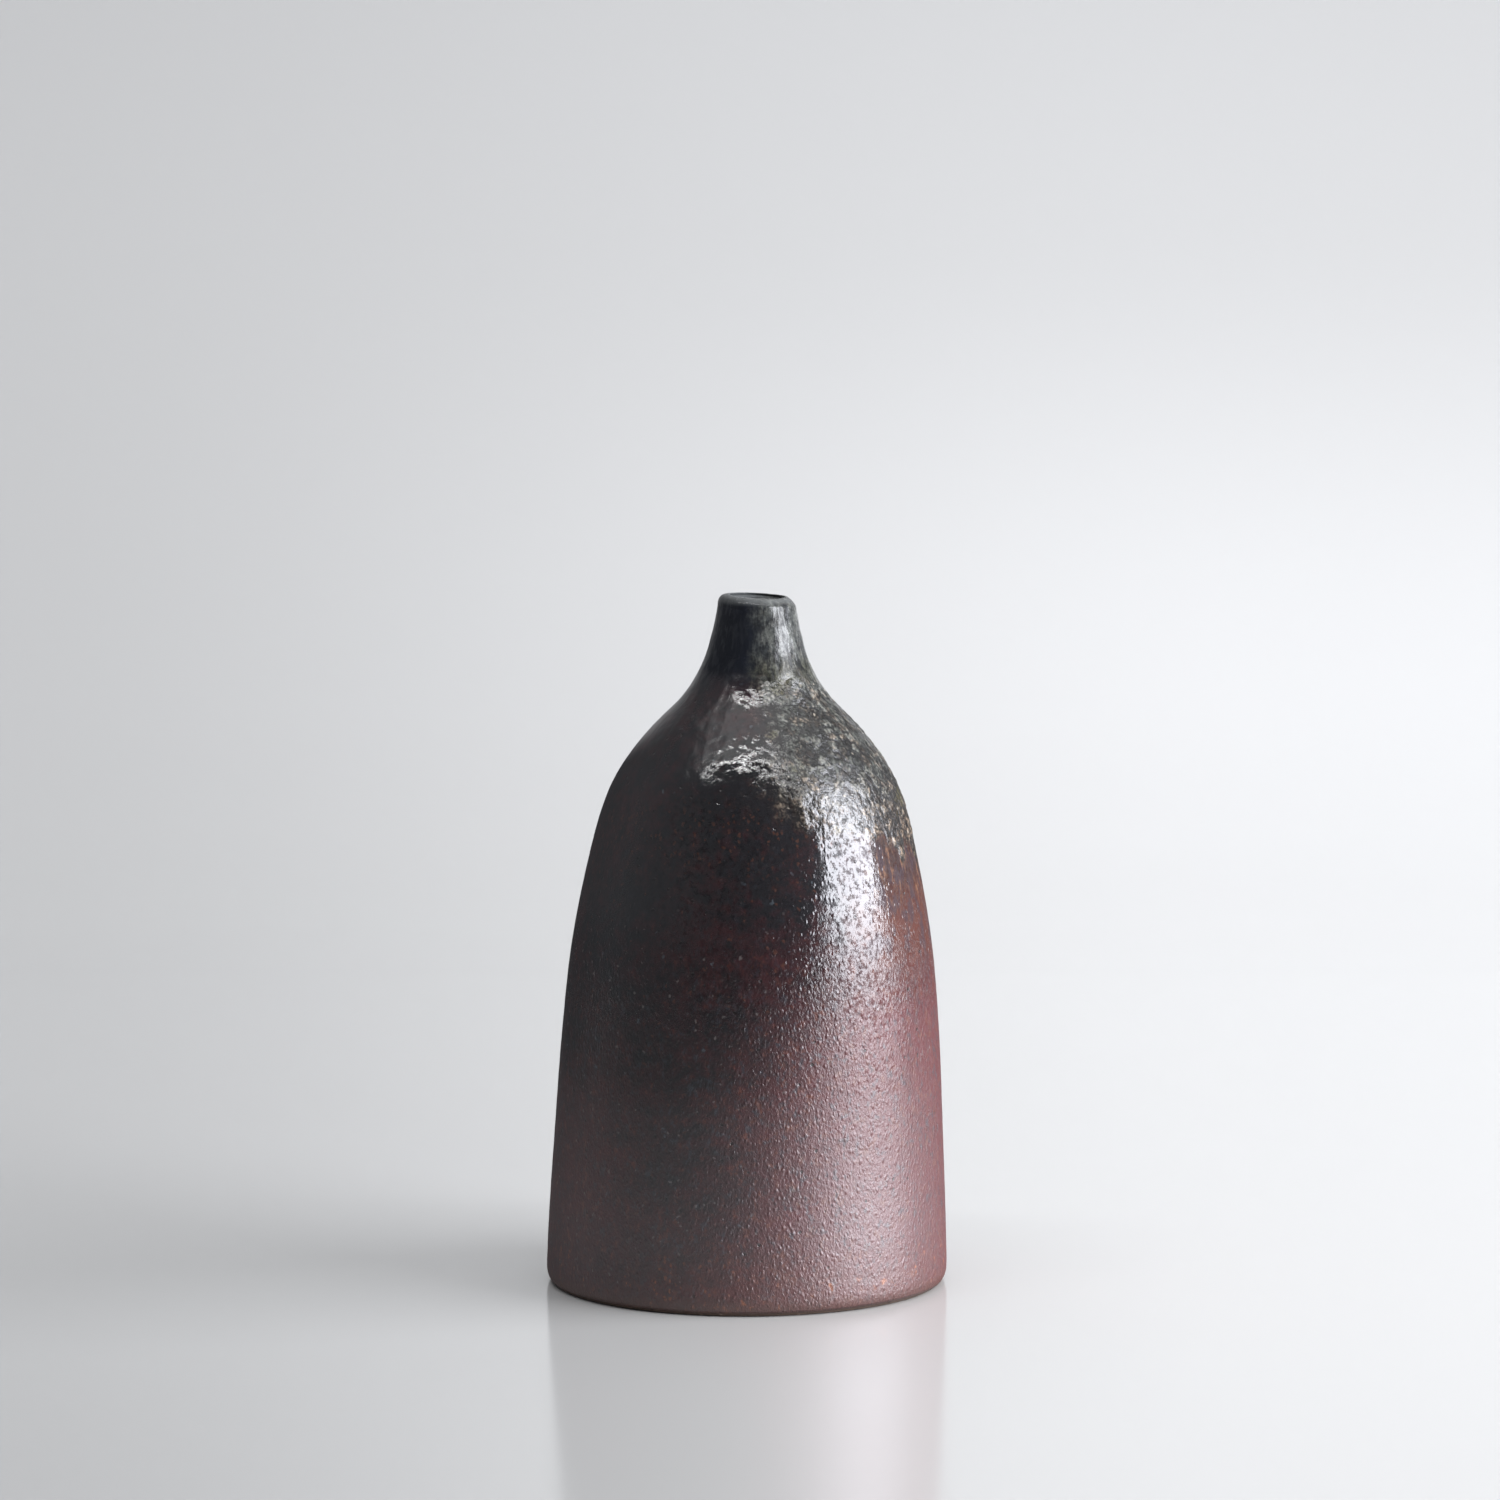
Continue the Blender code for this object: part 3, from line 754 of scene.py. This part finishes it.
# --- clay and lining ---------------------------------------------------------------------------
CLAY_DARKS = (0.036, 0.025, 0.020), (0.070, 0.047, 0.036)
CLAY_TOASTED = (0.085, 0.055, 0.042), (0.165, 0.108, 0.078)
GROG, CLAY_IRON_SPOT = (0.26, 0.20, 0.155), (0.022, 0.012, 0.010)
LINING_TONES = (0.060, 0.056, 0.052), (0.150, 0.140, 0.126)


def bare_clay():
    """Dark on the resting face, toasted on the heel and in the recess, with pale grog."""
    clay = Material("bare_stoneware")
    broad = clay.noise(9, detail=4, rough=0.6)
    sand = clay.noise(0.7, detail=3, rough=0.65, shift=4)
    z = clay.split(clay.mm)[2]
    under = z.ramp(0.9, 0.1)
    dark, toasted = clay.mix(broad, *CLAY_DARKS), clay.mix(broad, *CLAY_TOASTED)
    recess = z.ramp(1.05, 1.15)
    colour = clay.mix(under.larger(recess), dark, toasted)
    grog = clay.spots(1.7, radius=0.30, share=0.5, shift=9)
    colour = clay.mix(grog * under.ramp(0, 1, first=0.15, last=0.6), colour, GROG)
    iron_spots = clay.spots(3.1, radius=0.17, share=0.5, shift=19)
    colour = clay.mix(iron_spots * 0.85, colour, CLAY_IRON_SPOT)
    rough = sand.ramp(0.3, 0.7, first=0.72, last=0.92)
    clay.set(Base_Color=colour, Roughness=rough, Normal=clay.bump(sand * 90e-6 + grog * 50e-6))
    return clay.material


def lining():
    glaze = Material("liner_glaze")
    mottle = glaze.noise(2.4, detail=4, rough=0.6)
    glaze.set(
        Base_Color=glaze.mix(mottle, *LINING_TONES),
        Roughness=mottle.ramp(0.3, 0.7, first=0.18, last=0.32),
        IOR=1.5,
        Normal=glaze.bump(glaze.noise(1.6, shift=3) * 50e-6),
    )
    return glaze.material


# --- the four pieces ---------------------------------------------------------------------------
def coat_depth(z):
    """How far the iron coat's back lies under the surface, as a share of its thickness."""
    return smoothstep(COAT_END_Z, COAT_FULL_Z, z)


def build_iron_coat(path):
    """The iron coat: fine where it shows, coarse where the ash glaze covers it."""
    low_half = np.arange(len(path)) > len(path) // 2
    coated = path[: int(np.argmax(low_half & (path[:, 1] < COAT_END_Z)))]

    def front_spacing(z):
        return 0.62 - 0.12 * smoothstep(74.0, 82.0, z) + 1.7 * smoothstep(110.0, 115.0, z)

    def back_spacing(z):
        return 2.2 + 6.0 * (1.0 - smoothstep(60.0, 100.0, z)) * smoothstep(4.0, 12.0, z)

    def lift(points, theta):
        relief = coat_relief(points, theta) + lip_shaping(points, theta)
        return relief * smoothstep(COAT_END_Z, 3.0, points[..., 2]) + 0.012

    back = resampled(coated, back_spacing)
    back = moved(back, -IRON_COAT * coat_depth(back[:, 1]))[::-1]
    grids = [
        turned(section_of(resampled(coated, front_spacing)), COAT_COLUMNS, lift),
        turned(section_of(back), COAT_COLUMNS),
    ]
    material = FiredSurface("iron_slip").material
    make_piece("iron_slip_coat_fired", grids, False, material, "iron_slip_coat")


def build_ash_coat(path):
    """The ash glaze, from the lip's crest down past its ragged edge into the iron."""
    covered = path[int(np.argmax(path[:, 1])) :]
    lengths = lengths_along(covered)
    theta = column_angles(COAT_COLUMNS)
    low = ash_edge(theta) - 9.0 - 6.0 * smoothstep(0.35, 0.95, ash_side(theta))
    ends = np.interp(-low, -covered[:, 1], lengths)

    def hanging(start, end, spacing):
        """Each column's own stretch of the path, between shares of the way down."""
        rows = int(ASH_LENGTH / (spacing * COARSER))
        along = np.linspace(start, end, rows)[:, None] * ends
        stations = np.hstack([covered, normals_of(covered)])
        return [np.interp(along, lengths, values) for values in stations.T]

    def lift(points, theta):
        relief = coat_relief(points, theta) + lip_shaping(points, theta)
        return relief + ash_fields(points, theta)[0]

    grids = [
        turned(hanging(0.0, 1.0, spacing=0.45), COAT_COLUMNS, lift),
        turned(hanging(1.0, 0.0, spacing=2.2), COAT_COLUMNS, lambda *_: -ASH_BACK_DEPTH),
    ]
    material = FiredSurface("ash_glaze").material
    make_piece("ash_glaze_coat_fired", grids, False, material, "ash_glaze_coat")


def foot_path():
    """From the resting ring's outer edge in over the recess to the axis."""
    ring_count, recess_count = int(18 / COARSER), int(70 / COARSER)
    ring_r = np.linspace(FOOT_RING_OUTER_R, FOOT_RING_INNER_R, ring_count)[1:]
    slope = arc(
        (FOOT_RECESS_R, 0.0), FOOT_RING_INNER_R - FOOT_RECESS_R, FOOT_RECESS_DEPTH, 0, 90, 8
    )
    recess_r = np.linspace(FOOT_RECESS_R, 0.0, recess_count)[1:]
    ring = np.column_stack([ring_r, np.zeros_like(ring_r)])
    recess = np.column_stack([recess_r, np.full_like(recess_r, FOOT_RECESS_DEPTH)])
    return np.concatenate([ring, slope[1:], recess])


def build_clay(path, wetted):
    """The clay: the hollow's wall, the lip, the outside under the coats, the heel and foot."""
    inside = resampled(moved(wetted, -(LINER_COAT + SKIN_GAP)), lambda z: 2.6)
    inside[0, 0] = 0.0
    outside = resampled(path, lambda z: 0.35 + 2.3 * smoothstep(4.0, 12.0, z))
    outside = moved(outside, -(IRON_COAT + SKIN_GAP) * coat_depth(outside[:, 1]))
    whole = np.concatenate([inside, outside, foot_path()])
    low_part = np.arange(len(whole)) >= len(inside) + len(outside) // 2

    def lift(points, theta):
        """Turning marks and sand under the foot, none on the resting plane itself."""
        radius, z = np.hypot(points[..., 0], points[..., 1]), points[..., 2]
        spiral = radius + 0.35 * theta / np.pi + 0.5 * noise(points, 12.0, 41)
        marks = 0.05 * np.sin(2 * np.pi * spiral / RECESS_MARK_PITCH)
        sand = 0.035 * noise(points, 1.3, 42)
        in_recess = smoothstep(0.9, 1.2, z) * (1.0 - smoothstep(28.0, 29.6, radius))
        heel = smoothstep(0.1, 0.4, z) * (1.0 - smoothstep(0.4, 0.8, z))
        heel = heel * smoothstep(37.9, 38.4, radius)
        return low_part[:, None] * ((marks + sand) * in_recess + sand * heel)

    grids = [turned(section_of(whole), CLAY_COLUMNS, lift)]
    make_piece(
        "stoneware_body_thrown", grids, True, bare_clay(), "stoneware_body"
    )


def build_liner(wetted):
    """The lining: its wetted face up to the mouth, then its back down to the axis."""
    face = resampled(wetted, lambda z: 1.0 + 3.0 * (1.0 - smoothstep(100.0, 112.0, z)))
    face[0, 0] = 0.0
    back = resampled(moved(wetted, -LINER_COAT), lambda z: 3.5)[::-1]
    back[-1, 0] = 0.0

    def lift(points, theta):
        return 0.05 * noise(points, 3.0, 51) * smoothstep(8.0, 16.0, points[..., 2])

    grids = [turned(section_of(face), LINER_COLUMNS, lift), turned(section_of(back), LINER_COLUMNS)]
    make_piece("liner_glaze_fired", grids, True, lining(), "liner_glaze")


# --- studio, in metres -------------------------------------------------------------------------
CAMERA_X, CAMERA_DISTANCE, CAMERA_Z, CAMERA_PITCH = 0.00070, 1.422, 0.282, 7.0516
SWEEP_HALF_WIDTH, SWEEP_NEAR_Y, SWEEP_TOP_Z = 3.0, -2.6, 2.4
SWEEP_BEND_Y, SWEEP_BEND_RADIUS = 0.40, 1.30
# Linear RGB: the sweep's left and right, each near and far, and low on the right.
SWEEP_DIM = (0.394, 0.395, 0.396), (0.650, 0.652, 0.654)
SWEEP_LIT = (0.600, 0.601, 0.603), (0.895, 0.898, 0.905)
SWEEP_LIT_HIGH = (0.725, 0.727, 0.731)
WINDOW_Z, WINDOW_HEIGHT = 0.47, 0.97
WINDOW_BLUE, SPILL_BLUE = (0.955, 0.975, 1.05), (0.975, 0.985, 1.01)
CEILING_Z, CEILING_DEPTH, CEILING_TURN = 1.05, 1.40, math.radians(-8)
ROOM_SEEN = (0.62, 0.63, 0.645)
ROOM_DIM, ROOM_LEFT = (0.125, 0.130, 0.142), (0.290, 0.300, 0.325)


def sweep_material():
    """Painted light and shade, by the direction seen from the camera, by depth and by height."""
    pale = Material("pale_sweep")
    x, y, z = (axis * MM for axis in pale.split(pale.mm))
    across = pale.math("DIVIDE", x, y + CAMERA_DISTANCE).ramp(-0.110, 0.070)
    back = y.ramp(-0.30, 1.20)
    dim, lit = pale.mix(back, *SWEEP_DIM), pale.mix(back, *SWEEP_LIT)
    lit = pale.mix(z.ramp(0.02, 0.16), lit, SWEEP_LIT_HIGH)
    pale.set(Base_Color=pale.mix(across, dim, lit), Roughness=0.14, IOR=1.60)
    return pale.material


def build_sweep():
    """A pale sweep: table in front, curving up in one long bend behind the bottle."""
    section = [(SWEEP_NEAR_Y, 0.0), (SWEEP_BEND_Y, 0.0)]
    for angle in np.radians(np.linspace(0, 90, 61)[1:]):
        y = SWEEP_BEND_Y + SWEEP_BEND_RADIUS * math.sin(angle)
        section.append((y, SWEEP_BEND_RADIUS * (1.0 - math.cos(angle))))
    section.append((SWEEP_BEND_Y + SWEEP_BEND_RADIUS, SWEEP_TOP_Z))
    verts = [(x, y, z) for y, z in section for x in (-SWEEP_HALF_WIDTH, SWEEP_HALF_WIDTH)]
    faces = [(2 * i, 2 * i + 1, 2 * i + 3, 2 * i + 2) for i in range(len(section) - 1)]
    mesh = bpy.data.meshes.new("sweep")
    mesh.from_pydata(verts, [], faces)
    mesh.shade_smooth()
    mesh.materials.append(sweep_material())
    sweep = bpy.data.objects.new("sweep", mesh)
    bpy.context.scene.collection.objects.link(sweep)
    return sweep


def area_light(name, where, towards, width, height, radiance, colour=(1, 1, 1), receiver=None):
    """A rectangular light; a receiver collection limits what it lights."""
    light = bpy.data.lights.new(name, "AREA")
    light.shape = "RECTANGLE"
    light.size, light.size_y = width, height
    light.energy = radiance * math.pi * width * height
    light.color = colour
    lamp = bpy.data.objects.new(name, light)
    bpy.context.scene.collection.objects.link(lamp)
    lamp.location = where
    lamp.rotation_euler = (Vector(towards) - Vector(where)).to_track_quat("-Z", "Y").to_euler()
    lamp.visible_camera = False
    if receiver:
        lamp.light_linking.receiver_collection = receiver
    return lamp


def build_lights(sweep):
    """A tall window to the right, a soft ceiling, and a narrow bright slot above the front.
    The table has its own window and ceiling, so that its light can be softer."""
    bottle = bpy.data.collections.new("bottle")
    for piece in bpy.context.scene.objects:
        if piece.type == "MESH" and piece is not sweep:
            bottle.objects.link(piece)
    table = bpy.data.collections.new("table")
    table.objects.link(sweep)

    # Upright lights a metre off; the azimuth is in degrees from the front towards +X.
    for name, azimuth, width, radiance, colour, receiver in (
        ("window", 73, 0.76, 15.2, WINDOW_BLUE, bottle),
        ("wall_beside_window", 111, 0.56, 0.65, WINDOW_BLUE, bottle),
        ("window_spill", 76, 1.12, 8.25, SPILL_BLUE, table),
    ):
        angle = math.radians(azimuth)
        seat = (math.sin(angle), -math.cos(angle), WINDOW_Z)
        centre = (0, 0, WINDOW_Z)
        area_light(name, seat, centre, width, WINDOW_HEIGHT, radiance, colour, receiver)

    # The ceiling sits a little askew, and a dimmer strip softens its left edge.
    for name, x, y, width, radiance, turn, receiver in (
        ("ceiling", 0.179, 0.286, 1.05, 1.10, CEILING_TURN, bottle),
        ("ceiling_edge", -0.465, 0.377, 0.25, 0.50, CEILING_TURN, bottle),
        ("ceiling_spill", 0.0, 0.30, 1.35, 1.22, None, table),
    ):
        seat = (x, y, CEILING_Z)
        lamp = area_light(
            name, seat, (x, y, 0), width, CEILING_DEPTH, radiance, receiver=receiver
        )
        if turn:
            lamp.rotation_euler.rotate_axis("Z", turn)
    slot = area_light(
        "slot",
        where=(0.05, -0.43, CEILING_Z),
        towards=(0.05, 0.0, 0.12),
        width=1.40,
        height=0.022,
        radiance=48.0,
    )
    slot.rotation_euler.rotate_axis("Z", CEILING_TURN)


def build_room():
    """The world: even to the camera; to the rest dim, and paler on the left."""
    world = bpy.data.worlds.new("room")
    graph = Graph(world)
    side = graph.split(graph.make("TexCoord", "Generated", {}))[0].ramp(-0.20, -0.95)
    shade = graph.mix(side, ROOM_DIM, ROOM_LEFT)
    lit, seen = (
        graph.make("Background", "Background", {"Color": colour}) for colour in (shade, ROOM_SEEN)
    )
    to_camera = graph.make("LightPath", "Is Camera Ray", {})
    surface = graph.make("MixShader", "Shader", {"Fac": to_camera, 1: lit, 2: seen})
    graph.node("OutputWorld", {"Surface": surface})
    bpy.context.scene.world = world


def build_camera():
    camera = bpy.data.cameras.new("camera")
    camera.sensor_width, camera.lens = 36.0, 174.0
    camera.clip_start, camera.clip_end = 0.05, 30.0
    eye = bpy.data.objects.new("camera", camera)
    bpy.context.scene.collection.objects.link(eye)
    eye.location = (CAMERA_X, -CAMERA_DISTANCE, CAMERA_Z)
    eye.rotation_euler = (math.radians(90.0 - CAMERA_PITCH), 0.0, 0.0)
    bpy.context.scene.camera = eye
    bpy.context.scene.view_settings.view_transform = "Standard"


outer, wetted = outer_path(), wetted_path()
build_iron_coat(outer)
build_ash_coat(outer)
build_clay(outer, wetted)
build_liner(wetted)
build_lights(build_sweep())
build_room()
build_camera()
